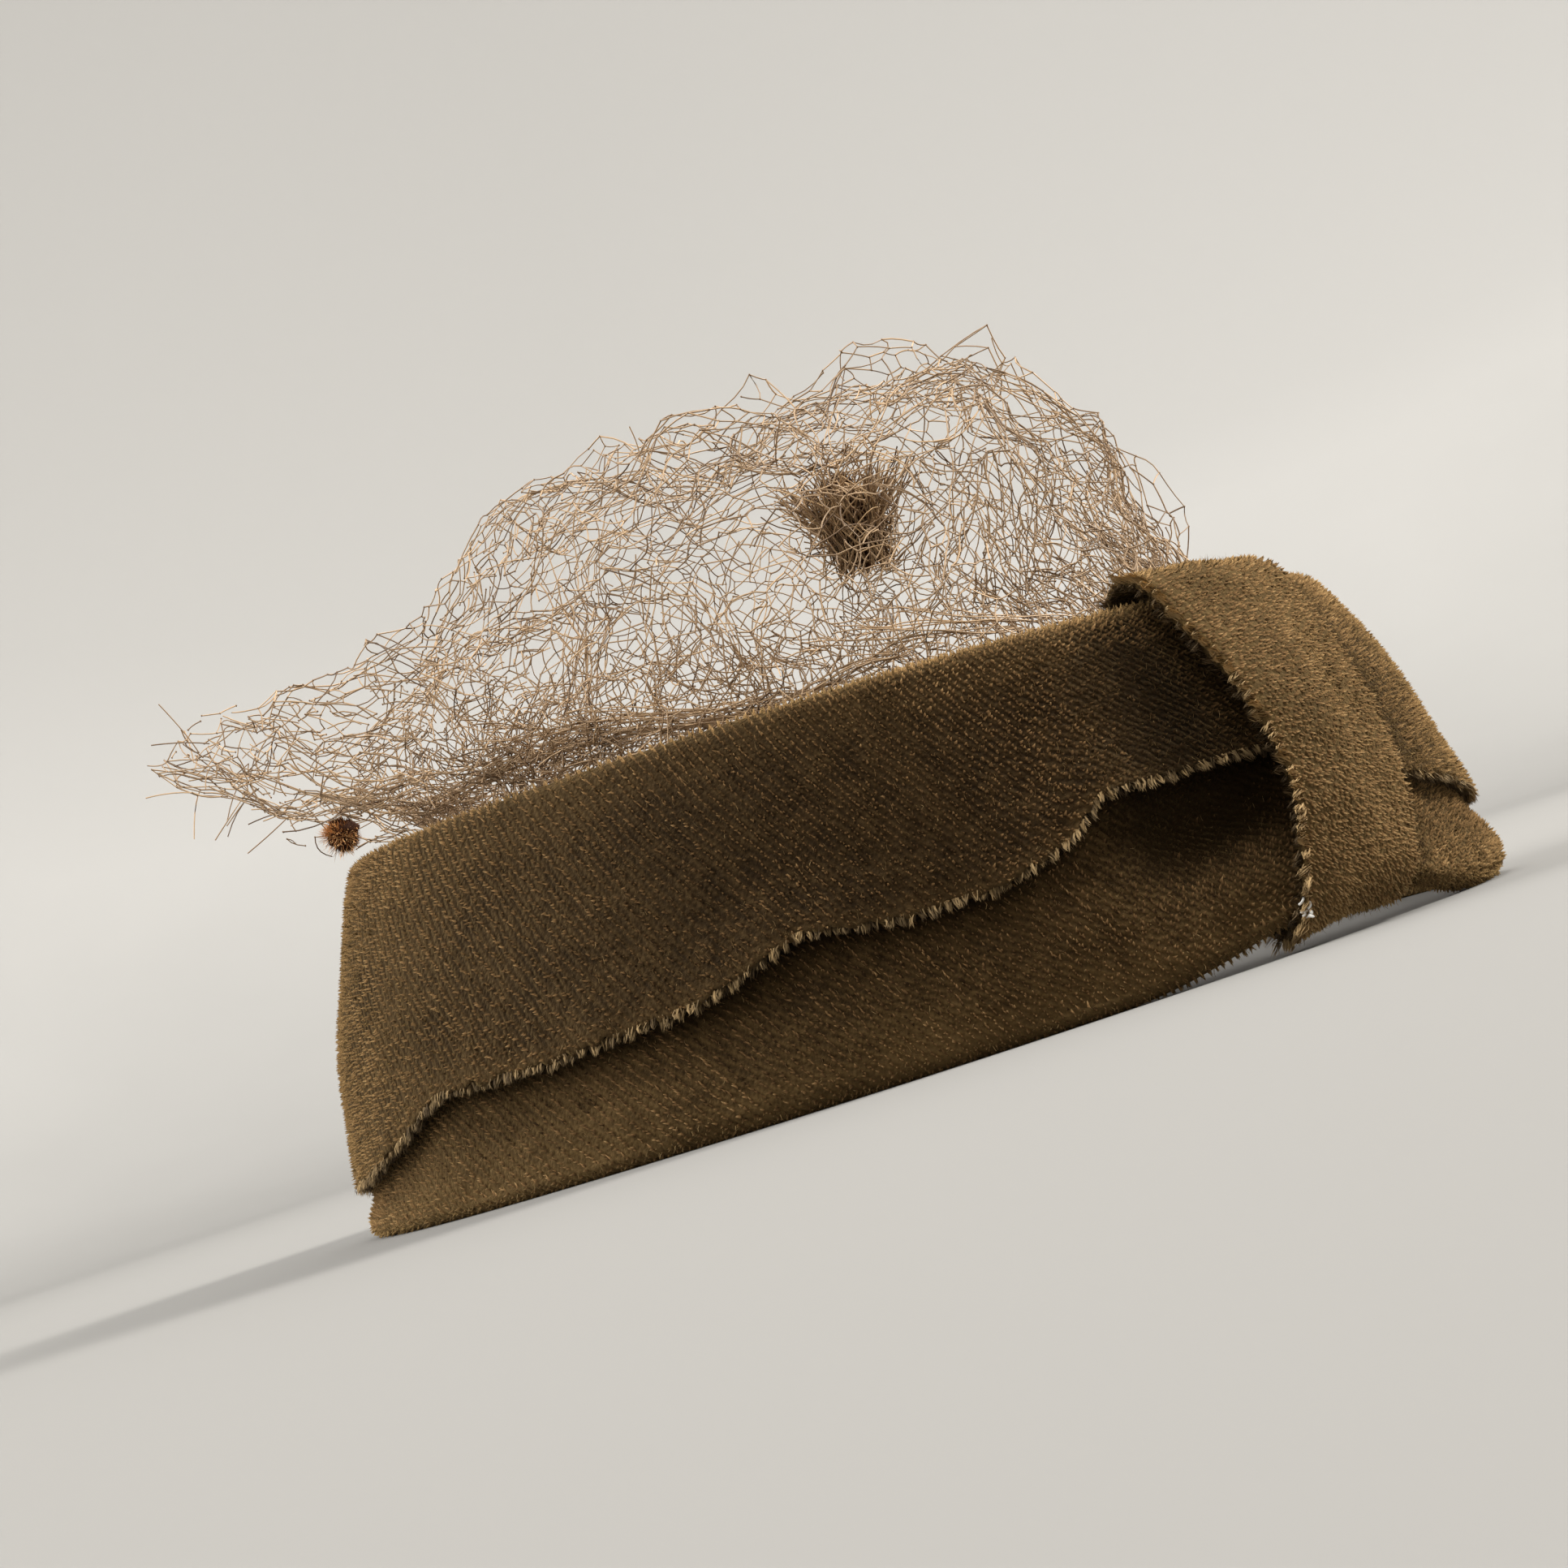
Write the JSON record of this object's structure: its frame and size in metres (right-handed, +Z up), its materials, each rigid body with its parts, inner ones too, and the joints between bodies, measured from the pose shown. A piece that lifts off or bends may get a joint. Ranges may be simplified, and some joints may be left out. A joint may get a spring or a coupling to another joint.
{
  "type": "velvet ring fascinator with veil",
  "caption": "Open oval ring hat of dark velvet, with a folded raw-edged band, a looped strap in front and a puffed net veil with a tuft and a chenille dot.",
  "frame": {"origin": "middle of the bounding box, on the surface that the rim rests on", "axes": "+Z up through the open crown; -Y is the wearer's front and -X the wearer's right"},
  "size_m": [0.184, 0.2148, 0.1186],
  "materials": {
    "velvet_base": "dark olive brown cotton velvet with fine ribbed pile",
    "velvet_band": "dark olive brown cotton velvet with fine ribbed pile and a frayed raw edge",
    "velvet_strap": "olive brown velvet, smoother nap",
    "net": "stiff fine hexagonal millinery net of tan brown thread",
    "tuft": "dark brown gathered net and chenille pile",
    "chenille": "dark brown chenille with lighter fringe hairs"
  },
  "bodies": {
    "root": {"base_band": "velvet_base", "upper_band": "velvet_band", "front_strap": "velvet_strap", "net_veil": "net", "veil_tuft": "tuft", "veil_dot": "chenille"}
  },
  "joints": []
}
